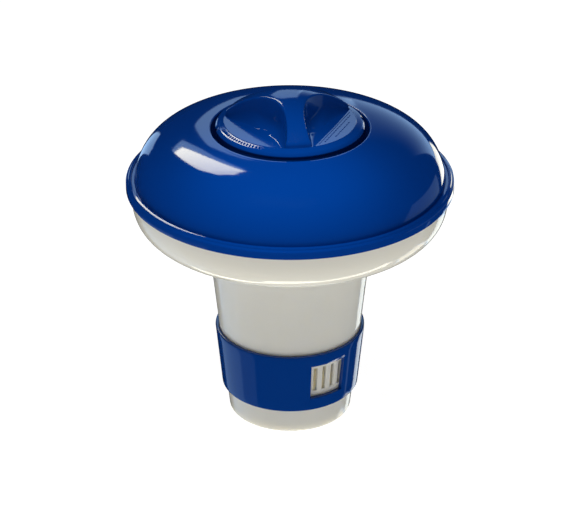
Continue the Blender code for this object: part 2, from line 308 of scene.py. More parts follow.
def moulded_plastic(name, colour, deep_colour, roughness, subsurface=0.0, depth=0.0015):
    """Injection-moulded plastic: faint tone drift, fine grain and light rub marks in the gloss.

    subsurface is the share of light that travels inside the plastic, and depth how far, in metres.
    """
    material = bpy.data.materials.new(name)
    material.use_nodes = True
    tree = material.node_tree
    link = tree.links.new
    shader = tree.nodes["Principled BSDF"]
    shader.inputs["IOR"].default_value = 1.49
    if subsurface:
        shader.inputs["Subsurface Weight"].default_value = subsurface
        shader.inputs["Subsurface Radius"].default_value = (1.0, 0.9, 0.7)
        shader.inputs["Subsurface Scale"].default_value = depth
    place = node_at(tree, "ShaderNodeTexCoord")

    drift = node_at(tree, "ShaderNodeTexNoise")
    drift.inputs["Scale"].default_value = 28.0
    drift.inputs["Detail"].default_value = 3.0
    link(place.outputs["Object"], drift.inputs["Vector"])
    tone = node_at(tree, "ShaderNodeMix", data_type="RGBA")
    tone.inputs["A"].default_value = (*deep_colour, 1.0)
    tone.inputs["B"].default_value = (*colour, 1.0)
    link(drift.outputs["Fac"], tone.inputs["Factor"])
    link(tone.outputs["Result"], shader.inputs["Base Color"])

    stretch = node_at(tree, "ShaderNodeMapping")
    stretch.inputs["Scale"].default_value = (900.0, 900.0, 90.0)
    link(place.outputs["Object"], stretch.inputs["Vector"])
    rub = node_at(tree, "ShaderNodeTexNoise")
    rub.inputs["Scale"].default_value = 1.0
    rub.inputs["Detail"].default_value = 4.0
    link(stretch.outputs["Vector"], rub.inputs["Vector"])
    gloss = node_at(tree, "ShaderNodeMapRange")
    gloss.inputs["From Min"].default_value = 0.3
    gloss.inputs["From Max"].default_value = 0.75
    gloss.inputs["To Min"].default_value = roughness * 0.85
    gloss.inputs["To Max"].default_value = roughness * 1.25
    link(rub.outputs["Fac"], gloss.inputs["Value"])
    link(gloss.outputs["Result"], shader.inputs["Roughness"])

    grain = node_at(tree, "ShaderNodeTexNoise")
    grain.inputs["Scale"].default_value = 700.0
    grain.inputs["Detail"].default_value = 2.0
    link(place.outputs["Object"], grain.inputs["Vector"])
    waviness = node_at(tree, "ShaderNodeTexNoise")
    waviness.inputs["Scale"].default_value = 60.0
    waviness.inputs["Detail"].default_value = 1.0
    link(place.outputs["Object"], waviness.inputs["Vector"])
    fine = node_at(tree, "ShaderNodeBump")
    fine.inputs["Strength"].default_value = 0.25
    fine.inputs["Distance"].default_value = 0.00001
    link(grain.outputs["Fac"], fine.inputs["Height"])
    broad = node_at(tree, "ShaderNodeBump")
    broad.inputs["Strength"].default_value = 0.25
    broad.inputs["Distance"].default_value = 0.00012
    link(waviness.outputs["Fac"], broad.inputs["Height"])
    link(fine.outputs["Normal"], broad.inputs["Normal"])
    link(broad.outputs["Normal"], shader.inputs["Normal"])
    return material


def seal_rubber():
    material = bpy.data.materials.new("seal_rubber_look")
    material.use_nodes = True
    tree = material.node_tree
    link = tree.links.new
    shader = tree.nodes["Principled BSDF"]
    shader.inputs["Specular IOR Level"].default_value = 0.35
    place = node_at(tree, "ShaderNodeTexCoord")
    speckle = node_at(tree, "ShaderNodeTexNoise")
    speckle.inputs["Scale"].default_value = 500.0
    speckle.inputs["Detail"].default_value = 5.0
    link(place.outputs["Object"], speckle.inputs["Vector"])
    tone = node_at(tree, "ShaderNodeMix", data_type="RGBA")
    tone.inputs["A"].default_value = (0.018, 0.018, 0.02, 1.0)
    tone.inputs["B"].default_value = (0.05, 0.05, 0.052, 1.0)
    link(speckle.outputs["Fac"], tone.inputs["Factor"])
    link(tone.outputs["Result"], shader.inputs["Base Color"])
    gloss = node_at(tree, "ShaderNodeMapRange")
    gloss.inputs["To Min"].default_value = 0.55
    gloss.inputs["To Max"].default_value = 0.8
    link(speckle.outputs["Fac"], gloss.inputs["Value"])
    link(gloss.outputs["Result"], shader.inputs["Roughness"])
    bump = node_at(tree, "ShaderNodeBump")
    bump.inputs["Strength"].default_value = 0.4
    bump.inputs["Distance"].default_value = 0.00003
    link(speckle.outputs["Fac"], bump.inputs["Height"])
    link(bump.outputs["Normal"], shader.inputs["Normal"])
    return material


FLOAT_BLUE = moulded_plastic("float_blue_look", (0.0003, 0.043, 0.285), (0.0002, 0.038, 0.255), 0.06)
CAP_BLUE = moulded_plastic("cap_blue_look", (0.0003, 0.042, 0.270), (0.0002, 0.037, 0.240), 0.09)
RING_BLUE = moulded_plastic("ring_blue_look", (0.0003, 0.040, 0.245), (0.0002, 0.036, 0.22), 0.08)
FLOAT_WHITE = moulded_plastic("float_white_look", (0.92, 0.89, 0.78), (0.89, 0.86, 0.75), 0.08, 0.1)
CANISTER_WHITE = moulded_plastic("canister_white_look", (0.92, 0.86, 0.72), (0.89, 0.83, 0.69), 0.09, 0.7,
                                 0.007)
RUBBER = seal_rubber()


# ---------------------------------------------------------------- float shells

def make_top_shell():
    crease = LEDGE_HEIGHT - 0.9
    flange = [(SEAM_SPIGOT, FLANGE_BOTTOM, 0.15), (FLANGE_RADIUS, FLANGE_BOTTOM, 0.3),
              (FLANGE_RADIUS, LEDGE_HEIGHT - 1.25, 0.45), (FLANGE_RADIUS - 0.95, LEDGE_HEIGHT - 0.85, 0.12),
              (FLANGE_RADIUS - 1.2, LEDGE_HEIGHT - 0.3, 0.2), (FLANGE_RADIUS - 2.1, LEDGE_HEIGHT, 0.12),
              (FLANGE_RADIUS - 2.3, crease, 0.1)]
    outside = plain(crown_rows(0.0, dome_radius(crease), WELL_RADIUS + 1.4, 34))
    lip_height = dome_height(WELL_RADIUS) + 0.06
    well = [(WELL_RADIUS, lip_height, 0.9), (WELL_RADIUS, WELL_FLOOR, 0.7),
            (NECK_RADIUS, WELL_FLOOR, 0.3), (NECK_RADIUS, NECK_TOP, 0.35),
            (NECK_BORE, NECK_TOP, 0.35), (NECK_BORE, WELL_UNDERSIDE, 0.3),
            (WELL_OUTSIDE, WELL_UNDERSIDE, 0.3)]
    inside = plain(crown_rows(SHELL_WALL, dome_radius(SEAM_SHOULDER, SHELL_WALL), WELL_OUTSIDE, 12)[::-1])
    shoulder = [(SEAM_SPIGOT, SEAM_SHOULDER, 0.1)]
    bm = turned(rounded(flange + outside + well + inside + shoulder, 6), 288)
    finish_piece("top_shell_surface", bm, "float", FLOAT_BLUE, ["float_top_shell"])


def make_bottom_shell():
    def bore(height):
        return canister_radius(0.0) + HUB_GAP + CANISTER_TAPER * height

    outside = plain(bowl_rows(0.0, FLANGE_BOTTOM, BOWL_FOOT, 26))
    hub_bottom = BOWL_LOW.z
    hub = [(HUB_FILLET_RADIUS, bowl_height(HUB_FILLET_START), 3.4),
           (HUB_FILLET_RADIUS, hub_bottom, 0.35), (bore(hub_bottom), hub_bottom, 0.2),
           (bore(HUB_GROOVE_LOW), HUB_GROOVE_LOW, 0.0), (HUB_GROOVE_RADIUS, HUB_GROOVE_LOW, 0.0),
           (HUB_GROOVE_RADIUS, HUB_GROOVE_HIGH, 0.0), (bore(HUB_GROOVE_HIGH), HUB_GROOVE_HIGH, 0.0),
           (bore(HUB_TOP), HUB_TOP, 0.2), (HUB_OUTSIDE, HUB_TOP, 0.4),
           (HUB_OUTSIDE + 0.3, HUB_FOOT, 1.2)]
    inside = plain(bowl_rows(SHELL_WALL, FLANGE_BOTTOM, BOWL_FOOT, 10)[::-1])
    rim = [(BOWL_RADIUS - SHELL_WALL, BOWL_RIM, 0.3), (BOWL_RADIUS, BOWL_RIM, 0.3)]
    bm = turned(rounded(outside + hub + inside + rim, 6), 288)
    finish_piece("bottom_shell_surface", bm, "float", FLOAT_WHITE, ["float_bottom_shell"])


# ---------------------------------------------------------------- pierced sleeves

def column_angles(edges, step_degrees):
    """Angles in degrees round a sleeve: every stated edge, and even steps between them."""
    edges = sorted(edge % 360.0 for edge in edges)
    angles = []
    for here, there in zip(edges, edges[1:] + [edges[0] + 360.0]):
        steps = max(1, round((there - here) / step_degrees))
        angles += spread(here, there, steps)[:-1]
    return angles


def nearest(values, wanted):
    return min(range(len(values)), key=lambda index: abs((values[index] - wanted + 180.0) % 360.0 - 180.0))


def pierced_sleeve(outline, outer_rows, inner_rows, angles, holes, ease):
    """A turned body with openings from its outer rows to its inner rows of the same heights.

    holes are (first angle, last angle); ease is how far each opening's outer edge is rounded back.
    """
    bm = bmesh.new()
    turns = [math.radians(angle) for angle in angles]
    rings = turned_rings(bm, outline, turns)
    spans = []
    for first, last in holes:
        low, high = nearest(angles, first), nearest(angles, last)
        spans.append([(low + step) % len(angles) for step in range((high - low) % len(angles) + 1)])
    skipped = {column for span in spans for column in span[:-1]}
    pierced = set(outer_rows[:-1]) | set(inner_rows[1:])
    for row in range(len(rings)):
        low, high = rings[row], rings[(row + 1) % len(rings)]
        if len(low) == 1 and len(high) == 1:
            continue
        skin(bm, low, high, skipped if row in pierced else ())
    for span in spans:
        for outer, inner in ((outer_rows[0], inner_rows[0]), (outer_rows[-1], inner_rows[-1])):
            for here, there in zip(span, span[1:]):
                bm.faces.new((rings[outer][here], rings[outer][there],
                              rings[inner][there], rings[inner][here]))
        for column in (span[0], span[-1]):
            for index in range(len(outer_rows) - 1):
                bm.faces.new((rings[outer_rows[index]][column], rings[outer_rows[index + 1]][column],
                              rings[inner_rows[index + 1]][column], rings[inner_rows[index]][column]))
        for index, row in enumerate(outer_rows):
            for column in span:
                if index in (0, len(outer_rows) - 1) or column in (span[0], span[-1]):
                    vertex = rings[row][column]
                    across = Vector((vertex.co.x, vertex.co.y, 0.0))
                    vertex.co -= across.normalized() * ease
    return bm


def bearing_angle(bearing):
    """Angle from +X of a bearing measured from the front towards +X."""
    return bearing - 90.0


def drill_drains(canister):
    """Cut the ring of drain holes through the canister's base."""
    bm = bmesh.new()
    for angle in around(DRAIN_COUNT):
        place = Vector((math.cos(angle), math.sin(angle), 0.0)) * DRAIN_CIRCLE
        bmesh.ops.create_cone(bm, cap_ends=True, segments=32, radius1=DRAIN_RADIUS, radius2=DRAIN_RADIUS,
                              depth=2 * CANISTER_FLOOR, matrix=Matrix.Translation(place))
    bmesh.ops.scale(bm, vec=(MM, MM, 1.5 * MM), verts=bm.verts)
    drills = bpy.data.meshes.new("drain_drills")
    bm.to_mesh(drills)
    bm.free()
    cutter = bpy.data.objects.new("drain_drills", drills)
    bpy.context.scene.collection.objects.link(cutter)
    holes = canister.modifiers.new("drain_holes", "BOOLEAN")
    holes.operation = "DIFFERENCE"
    holes.solver = "EXACT"
    holes.object = cutter
    drilled = bpy.data.meshes.new_from_object(canister.evaluated_get(bpy.context.evaluated_depsgraph_get()))
    canister.modifiers.clear()
    canister.data = drilled
    drilled.shade_smooth()
    drilled.set_sharp_from_angle(angle=math.radians(35.0))
    bpy.data.objects.remove(cutter, do_unlink=True)


def make_canister():
    ease = 0.15
    rows = [SLOT_BOTTOM - ease, SLOT_BOTTOM] + spread(SLOT_BOTTOM, SLOT_TOP, 6)[1:-1]
    rows += [SLOT_TOP, SLOT_TOP + ease]
    corner = rounded([(0.0, 0.0, 0.0), (CANISTER_RADIUS, 0.0, 1.2), (canister_radius(6.0), 6.0, 0.0),
                      (0.0, 6.0, 0.0)], 6)[1:-2]
    outside = [(0.0, 0.0), (12.0, 0.0)] + corner
    outside += [(canister_radius(height), height) for height in (6.0, 12.0, 16.0)]
    first_outer = len(outside) + 1
    outside += [(canister_radius(height), height) for height in rows]
    outer_rows = list(range(first_outer, first_outer + len(rows) - 2))
    outside += [(canister_radius(GROOVE_LOW), GROOVE_LOW),
                (canister_radius(GROOVE_LOW) - 0.5, GROOVE_LOW + 0.2),
                (canister_radius(GROOVE_HIGH) - 0.5, GROOVE_HIGH - 0.2),
                (canister_radius(GROOVE_HIGH), GROOVE_HIGH)]
    outside += [(canister_radius(height), height) for height in spread(40.0, CANISTER_HIGH.z - 0.5, 10)]
    top = canister_radius(CANISTER_HIGH.z)
    outside += [(top - 0.35, CANISTER_HIGH.z), (top - CANISTER_WALL + 0.3, CANISTER_HIGH.z)]
    inside = [(canister_radius(height) - CANISTER_WALL, height)
              for height in (CANISTER_HIGH.z - 0.4, 80.0, 40.0)]
    inner_heights = [rows[index] for index in range(len(rows) - 2, 0, -1)]
    first_inner = len(outside) + len(inside)
    inside += [(canister_radius(height) - CANISTER_WALL, height) for height in inner_heights]
    inner_rows = list(range(first_inner, first_inner + len(inner_heights)))[::-1]
    base = CANISTER_RADIUS - CANISTER_WALL
    inside += [(base + 0.4, 4.0), (base - 0.1, 2.6), (base - 0.6, 1.9), (base - 1.4, CANISTER_FLOOR),
               (12.0, CANISTER_FLOOR), (0.0, CANISTER_FLOOR)]
    half = math.degrees(SLOT_WIDTH / 2 / canister_radius((SLOT_BOTTOM + SLOT_TOP) / 2))
    ease_angle = math.degrees(ease / canister_radius(SLOT_TOP))
    holes, edges = [], []
    for side in (0.0, 180.0):
        for slot in range(SLOTS_PER_SIDE):
            middle = bearing_angle(WINDOW_BEARING + SLOTS_TURN + side
                                   + (slot - (SLOTS_PER_SIDE - 1) / 2) * SLOT_PITCH)
            holes.append((middle - half, middle + half))
            edges += [middle - half - ease_angle, middle - half, middle + half, middle + half + ease_angle]
    bm = pierced_sleeve(outside + inside, outer_rows, inner_rows, column_angles(edges, 1.6), holes, 0.12)
    canister = finish_piece("canister_surface", bm, "float", CANISTER_WHITE,
                            ["tablet_canister"], 35.0)
    drill_drains(canister)


def make_flow_ring():
    def outer(height):
        return RING_HIGH.x - RING_TAPER * (RING_HIGH.z - height)

    def inner(height):
        return canister_radius(height) + RING_GAP

    ease = 0.2
    low, high = RING_LOW.z, RING_HIGH.z
    rows = [WINDOW_BOTTOM - ease, WINDOW_BOTTOM] + spread(WINDOW_BOTTOM, WINDOW_TOP, 6)[1:-1]
    rows += [WINDOW_TOP, WINDOW_TOP + ease]
    bottom_edge = rounded([(inner(low), low, 0.2), (outer(low), low, 0.45), (outer(low + 3), low + 3, 0.0),
                           (inner(low + 3), low + 3, 0.0)], 4)[:-2]
    top_edge = rounded([(outer(high - 3), high - 3, 0.0), (outer(high), high, 0.45),
                        (inner(high), high, 0.3), (inner(high - 3), high - 3, 0.0)], 4)[1:-1]
    outline = bottom_edge + [(outer(low + 2.5), low + 2.5)]
    first_outer = len(outline) + 1
    outline += [(outer(height), height) for height in rows]
    outer_rows = list(range(first_outer, first_outer + len(rows) - 2))
    outline += [(outer(34.0), 34.0)] + top_edge
    bead = (GROOVE_LOW + GROOVE_HIGH) / 2
    outline += [(inner(bead + 0.6), bead + 0.6), (inner(bead) - RING_BEAD, bead + 0.3),
                (inner(bead) - RING_BEAD, bead - 0.3), (inner(bead - 0.6), bead - 0.6)]
    first_inner = len(outline)
    inner_heights = rows[1:-1][::-1]
    outline += [(inner(height), height) for height in inner_heights]
    inner_rows = list(range(first_inner, first_inner + len(inner_heights)))[::-1]
    half = math.degrees(WINDOW_WIDTH / 2 / outer((WINDOW_BOTTOM + WINDOW_TOP) / 2))
    ease_angle = math.degrees(ease / outer(WINDOW_TOP))
    holes, edges = [], []
    for side in (0.0, 180.0):
        middle = bearing_angle(WINDOW_BEARING + side)
        holes.append((middle - half, middle + half))
        edges += [middle - half - ease_angle, middle - half, middle + half, middle + half + ease_angle]
    bm = pierced_sleeve(outline, outer_rows, inner_rows, column_angles(edges, 1.5), holes, 0.15)
    finish_piece("flow_ring_surface", bm, "flow_ring", RING_BLUE, ["flow_control_ring"], 35.0)


# ---------------------------------------------------------------- cap

def crown_height(radius):
    """Top of the cap's crown, rounded down where it ends."""
    sphere = CAP_TOP - CROWN_SPHERE + math.sqrt(CROWN_SPHERE ** 2 - radius ** 2)
    edge = 0.7
    over = radius - (CROWN_RADIUS - edge)
    if over > 0:
        sphere -= edge - math.sqrt(max(edge ** 2 - over ** 2, 0.0))
    return sphere


def scoop_inside(along, across):
    """Distance from the scoop's edge, positive inside the scoop."""
    slope = 2 * SCOOP_CURVE * across
    return (along - SCOOP_APEX - SCOOP_CURVE * across ** 2) / math.hypot(1.0, slope)


def ray_stations(middle, target):
    """Points (along, across, height) from the scoop's middle out to a boundary point of its sector."""
    direction = Vector(target) - Vector(middle)
    length = direction.length
    direction /= length
    radius = Vector(target).length
    wall = scoop_inside(*target) < -0.02
    if wall:
        a = SCOOP_CURVE * direction.y ** 2
        b = -direction.x
        c = SCOOP_APEX - middle[0]
        if a < 1e-9:
            crossing = -c / b
        else:
            crossing = (-b + math.sqrt(b * b - 4 * a * c)) / (2 * a)
        spot = Vector(middle) + direction * crossing
        slope = 2 * SCOOP_CURVE * spot.y
        normal = Vector((1.0, -slope)).normalized()
        lean = max(abs(normal.dot(direction)), 0.35)
        rim_height = crown_height(spot.length)
        depth = rim_height - SCOOP_FLOOR
        ease = min(0.7, 0.6 * (length - crossing) * lean)
        draft = 0.045 * depth
        fillet = min(SCOOP_FILLET, 0.62 * depth, (crossing * lean - draft) * 0.85)
    else:
        crossing = min((SHELF_CHORD - middle[0]) / max(direction.x, 1e-6), length)
        lean = max(abs(direction.x), 0.3)
        rim_height = SHELF_HEIGHT
        depth = rim_height - SCOOP_FLOOR
        ease = min(0.25, 0.6 * (length - crossing) * lean)
        draft = 0.05
        fillet = min(1.1, 0.7 * depth)

    def at(distance, height):
        spot = Vector(middle) + direction * distance
        return spot.x, spot.y, height

    def ground(distance):
        if wall:
            return crown_height((Vector(middle) + direction * distance).length)
        return SHELF_HEIGHT

    points = []
    foot = crossing - (draft + fillet) / lean
    for distance in spread(0.0, foot, 7)[:-1]:
        points.append(at(distance, SCOOP_FLOOR))
    for step in range(9):
        angle = math.radians(90.0 - 90.0 * step / 8)
        inset = draft + fillet * (1 - math.cos(angle))
        points.append(at(crossing - inset / lean, SCOOP_FLOOR + fillet * (1 - math.sin(angle))))
    lip_base = ground(crossing + ease / lean) - ease
    for step in (1, 2):
        share = step / 3
        points.append(at(crossing - draft * (1 - share) / lean,
                         SCOOP_FLOOR + fillet + (lip_base - SCOOP_FLOOR - fillet) * share))
    for step in range(7):
        angle = math.radians(90.0 * step / 6)
        distance = crossing + ease * (1 - math.cos(angle)) / lean
        points.append(at(distance, ground(distance) - ease * (1 - math.sin(angle))))
    start = crossing + ease / lean
    for step in range(1, 13):
        share = step / 12
        share = 1 - (1 - share) ** 1.6
        distance = start + (length - start) * share
        points.append(at(distance, ground(distance)))
    return points


def sector_boundary():
    """Boundary of one third of the crown: out along one rib, round the edge, back along the next."""
    corner = 60.0
    scoop_corner = math.degrees(math.atan2(*SCOOP_CORNER))
    rib = [0.0, 1.2, 2.6, 4.2, 6.0, 8.0, 10.0, 12.0, 14.0, 16.0, 18.0, 20.0, 21.6, 22.9, 23.8, 24.4, 24.7,
           24.9, 25.05, 25.15, 25.24]
    arc = spread(-corner, -scoop_corner - 0.15, 8) + spread(-scoop_corner + 0.15, scoop_corner - 0.15, 56)
    arc += spread(scoop_corner + 0.15, corner, 8)
    boundary = [(radius, -corner) for radius in rib]
    boundary += [(CROWN_RADIUS, angle) for angle in arc]
    boundary += [(radius, corner) for radius in rib[:0:-1]]
    return boundary, arc


def make_cap_surface():
    """Crown of the cap with its three finger scoops, one third at a time, and its edge loop."""
    bm = bmesh.new()
    boundary, arc = sector_boundary()
    rim_ring = []
    for bearing in SCOOP_BEARINGS:
        turn = Matrix.Rotation(math.radians(bearing), 4, "Z")
        rays = []
        for radius, angle in boundary:
            target = (radius * math.cos(math.radians(angle)), radius * math.sin(math.radians(angle)))
            stations = ray_stations(SCOOP_MIDDLE, target)
            rays.append([bm.verts.new(turn @ Vector(point)) for point in stations])
        centre = rays[0][0]
        for here in range(len(rays)):
            there = (here + 1) % len(rays)
            bm.faces.new((centre, rays[here][1], rays[there][1]))
            for low in range(1, len(rays[here]) - 1):
                bm.faces.new((rays[here][low], rays[here][low + 1],
                              rays[there][low + 1], rays[there][low]))
        for ray in rays[1:]:
            bm.verts.remove(ray[0])
        rim_ring += [((bearing + angle) % 360.0, bearing, angle) for angle in arc[:-1]]
    bmesh.ops.remove_doubles(bm, verts=bm.verts, dist=0.002)
    return bm, sorted(rim_ring)


def rim_inset(angle):
    """How far the cap's rim steps in at its two release notches."""
    for bearing in NOTCH_BEARINGS:
        if abs((angle - bearing + 180.0) % 360.0 - 180.0) < NOTCH_HALF_ANGLE:
            return NOTCH_DEPTH
    return 0.0


def rim_height(radius):
    """Height of the cap's rim: a gentle slope outwards that rounds over towards its edge."""
    share = (radius - CROWN_RADIUS) / (CAP_RIM_RADIUS - CROWN_RADIUS)
    return CAP_RIM_HEIGHT + RIM_LEAN * (1 - share) + RIM_ROUNDING * (1 - share ** 9)


def make_cap():
    bm, rim_ring = make_cap_surface()
    angles = [math.radians(entry[0]) for entry in rim_ring]
    loop = {}
    for edge in [edge for edge in bm.edges if edge.is_boundary]:
        for vertex in edge.verts:
            loop[round(math.degrees(math.atan2(vertex.co.y, vertex.co.x)) % 360.0, 2) % 360.0] = vertex
    top = [loop[round(entry[0], 2) % 360.0] for entry in rim_ring]
    foot = rim_height(CROWN_RADIUS + 0.2)
    rim = [(CROWN_RADIUS + 0.02, foot + 0.16), (CROWN_RADIUS + 0.1, foot + 0.02)]
    rim += [(radius, rim_height(radius))
            for radius in spread(CROWN_RADIUS + 0.3, CAP_RIM_RADIUS - 0.7, 14)]
    rim += rounded([(CAP_RIM_RADIUS - 0.5, rim_height(CAP_RIM_RADIUS - 0.5), 0.0),
                    (CAP_RIM_RADIUS, CAP_RIM_HEIGHT, 0.3), (CAP_RIM_RADIUS, CAP_RIM_HEIGHT - 0.3, 0.12),
                    (SKIRT_RADIUS, CAP_RIM_HEIGHT - 0.6, 0.2), (SKIRT_RADIUS, SKIRT_BOTTOM, 0.4),
                    (SKIRT_BORE, SKIRT_BOTTOM, 0.4), (SKIRT_BORE, CAP_CEILING, 0.5),
                    (0.0, CAP_CEILING, 0.0)], 4)[1:]
    low = top
    for radius, height in rim:
        ring = []
        if radius < 1e-6:
            ring = [bm.verts.new((0.0, 0.0, height))]
        else:
            for angle in angles:
                inset = 0.0
                if radius > CAP_RIM_RADIUS - 1.2 and height > CAP_RIM_HEIGHT - 1.0:
                    inset = rim_inset(math.degrees(angle)) * min(1.0, (radius - CAP_RIM_RADIUS + 1.2))
                reach = radius - inset
                ring.append(bm.verts.new((reach * math.cos(angle), reach * math.sin(angle), height)))
        skin(bm, low, ring)
        low = ring
    finish_piece("cap_surface", bm, "screw_cap", CAP_BLUE, ["cap"], 50.0)


def bar_between(bm, start, end, width, bottom_drop, rise, crest=0.6):
    """A small raised bar between two points (x, y, z); crest is its top's share of its width."""
    start, end = Vector(start), Vector(end)
    along = (end - start).normalized()
    side = along.cross(Vector((0.0, 0.0, 1.0))).normalized()
    up = side.cross(along).normalized()
    loops = []
    levels = ((-bottom_drop, 1.0, 0.0), (rise * 0.6, 1.0, 0.0), (rise, crest, width * 0.2))
    for level, share, trim in levels:
        half = width / 2 * share
        loops.append([bm.verts.new(start + along * trim - side * half + up * level),
                      bm.verts.new(end - along * trim - side * half + up * level),
                      bm.verts.new(end - along * trim + side * half + up * level),
                      bm.verts.new(start + along * trim + side * half + up * level)])
    for low, high in zip(loops, loops[1:]):
        for here in range(4):
            there = (here + 1) % 4
            bm.faces.new((low[here], low[there], high[there], high[here]))
    bm.faces.new(loops[0][::-1])
    bm.faces.new(loops[-1])


def make_cap_marks():
    """Plain raised marks: a row of ticks on the rim, and rows of dashes on one scoop's shelf."""
    bm = bmesh.new()
    for tick in range(TICK_COUNT):
        angle = math.radians(TICK_FIRST + TICK_PITCH * tick)
        ends = [(radius * math.cos(angle), radius * math.sin(angle), rim_height(radius))
                for radius in TICK_RADII]
        bar_between(bm, ends[0], ends[1], 0.5, 0.3, 0.4, 0.1)
    turn = Matrix.Rotation(math.radians(SCOOP_BEARINGS[1]), 4, "Z")
    for along, reach, dash in DASH_ROWS:
        across = -reach
        while across < reach - 0.1:
            end = min(across + dash, reach)
            bar_between(bm, turn @ Vector((along, across, SHELF_HEIGHT)),
                        turn @ Vector((along, end, SHELF_HEIGHT)), 0.4, 0.2, 0.18)
            across = end + DASH_GAP
    finish_piece("cap_marks", bm, "screw_cap", CAP_BLUE)


# ---------------------------------------------------------------- threads and seals

def thread_bars(root, tip, first, span, drop):
    """Thread starts evenly round the axis, each fading in and out; first and span are in degrees."""
    bm = bmesh.new()
    half_root, half_tip = THREAD_THICKNESS / 2, THREAD_THICKNESS * 0.35
    steps = max(8, round(span / 2.5))
    for start in range(THREAD_STARTS):
        loops = []
        for step in range(steps + 1):
            turn = first + span * step / steps
            height = THREAD_BASE - drop + THREAD_LEAD * turn / 360.0
            angle = math.radians(turn + 360.0 / THREAD_STARTS * start)
            fade = min(1.0, (step + 0.6) / 2, (steps - step + 0.6) / 2)
            reach = root + (tip - root) * (0.35 + 0.65 * fade)
            crest = tip - math.copysign(0.15, tip - root) if fade == 1.0 else reach
            section = ((root, -half_root), (crest, -half_tip), (reach, -half_tip * 0.6),
                       (reach, half_tip * 0.6), (crest, half_tip), (root, half_root))
            loops.append([bm.verts.new((radius * math.cos(angle), radius * math.sin(angle), height + rise))
                          for radius, rise in section])
        for low, high in zip(loops, loops[1:]):
            for here in range(6):
                there = (here + 1) % 6
                bm.faces.new((low[here], low[there], high[there], high[here]))
        bm.faces.new(loops[0][::-1])
        bm.faces.new(loops[-1])
    return bm


def make_threads():
    neck = thread_bars(NECK_RADIUS - 0.25, NECK_THREAD_CREST, *NECK_THREAD_ARC, 0.0)
    finish_piece("neck_thread", neck, "float", FLOAT_BLUE)
    cap = thread_bars(SKIRT_BORE + 0.25, CAP_THREAD_CREST, *CAP_THREAD_ARC, THREAD_THICKNESS + 0.3)
    finish_piece("cap_thread", cap, "screw_cap", CAP_BLUE)


def flat_section(inner, low, high):
    """Outline of a flat ring with eased corners, from its inner radius out to its box."""
    ease = 0.25
    return rounded([(inner, low.z, ease), (high.x, low.z, ease), (high.x, high.z, ease),
                    (inner, high.z, ease)], 3)


def make_seals():
    gasket = flat_section(GASKET_BORE, GASKET_LOW, GASKET_HIGH)
    finish_piece("cap_gasket_surface", turned(gasket, 192), "cap_carrier", RUBBER,
                 ["cap_gasket"])
    for node in ("seam_seal", "well_seal", "hub_seal"):
        low, high = node_box(node)
        half_height = (high.z - low.z) / 2
        middle = (low.z + high.z) / 2
        if node == "seam_seal":
            section = flat_section(SEAM_SEAL_BORE, low, high)
        else:
            section = [(high.x - half_height + half_height * math.cos(angle),
                        middle + half_height * math.sin(angle)) for angle in around(16)]
        finish_piece(node + "_surface", turned(section, 192), "float", RUBBER, [node])


# ---------------------------------------------------------------- studio

# What the glossy plastic reflects: soft-edged panels in a dark room. Each has its corners as
# (turn, rise) in degrees, anticlockwise, where turn is measured from straight behind the object
# towards +X and rise from the horizon; then its brightness low down and high up, and its softness.
STUDIO_PANELS = (
    ("left_softbox", ((-26.9, 30.0), (-19.5, 29.8), (-14.2, 37.0), (-10.0, 46.5), (-17.0, 51.2),
                      (-26.4, 51.4), (-30.8, 45.6)), 8.4, 7.6, 0.5),
    ("softbox_spill", ((-26.9, 28.0), (-16.6, 26.3), (-12.6, 32.5), (-9.0, 44.0), (-10.0, 47.0),
                       (-27.0, 48.0)), 1.3, 1.3, 0.5),
    ("left_card", ((-15.0, -22.0), (-16.5, -10.0), (-21.0, 7.0), (-30.0, 8.0), (-34.0, 4.0),
                   (-29.0, -5.0), (-23.0, -14.0)), 1.4, 1.2, 0.7),
    ("back_card", ((-4.0, 11.0), (5.0, 11.0), (5.0, 33.0), (-5.0, 36.0), (-9.3, 31.0),
                   (-9.9, 21.5)), 0.8, 1.25, 0.5),
    ("back_haze", ((4.0, 8.0), (12.0, 5.0), (23.0, -1.5), (34.0, -4.0), (34.0, 30.0), (4.0, 30.0)),
     1.45, 0.0, 1.5),
    ("right_edge", ((17.0, -27.0), (36.0, -27.0), (34.0, -4.0), (24.0, -1.0)), 3.6, 3.6, 1.5),
    ("canister_edge", ((22.0, -38.0), (42.0, -38.0), (42.0, -28.0), (22.0, -28.0)), 1.8, 1.8, 1.5),
    ("right_card", ((42.0, -24.0), (93.0, -24.0), (93.0, -12.5), (83.0, 0.5), (45.0, -4.0)),
     0.28, 0.28, 1.5),
    ("right_line", ((65.0, -60.0), (68.0, -60.0), (68.0, -26.0), (65.0, -26.0)), 0.5, 0.5, 0.7),
    ("left_strip", ((-90.0, -60.0), (-40.0, -60.0), (-40.0, -29.0), (-90.0, -29.0)), 0.5, 0.5, 2.0),
    ("left_fade", ((-119.0, -60.0), (-90.0, -60.0), (-90.0, -29.0), (-119.0, -29.0)), 0.2, 0.2, 2.0),
    ("bowl_right", ((42.0, -52.0), (68.0, -50.0), (62.0, -38.0), (40.0, -38.0)), 2.0, 2.0, 2.0),
    ("table_pole", ((-181.0, -91.0), (181.0, -91.0), (181.0, -81.0), (-181.0, -81.0)), 4.5, 4.5, 2.0),
    ("table_right", ((45.0, -84.0), (80.0, -84.0), (82.0, -52.0), (68.0, -52.0), (52.0, -72.0)),
     4.5, 4.5, 2.0),
    ("table_left", ((-40.0, -84.0), (-20.0, -84.0), (-22.0, -66.0), (-30.0, -56.0), (-45.0, -54.0)),
     4.5, 4.5, 2.0),
)
DARK_ROOM = 0.008

# Dim panels are bluish and bright ones warm, with the change between these two brightnesses
DIM_TINT = (0.62, 1.0, 1.5)
BRIGHT_TINT = (1.0, 0.97, 0.80)
TINT_CHANGE = (1.4, 2.0)

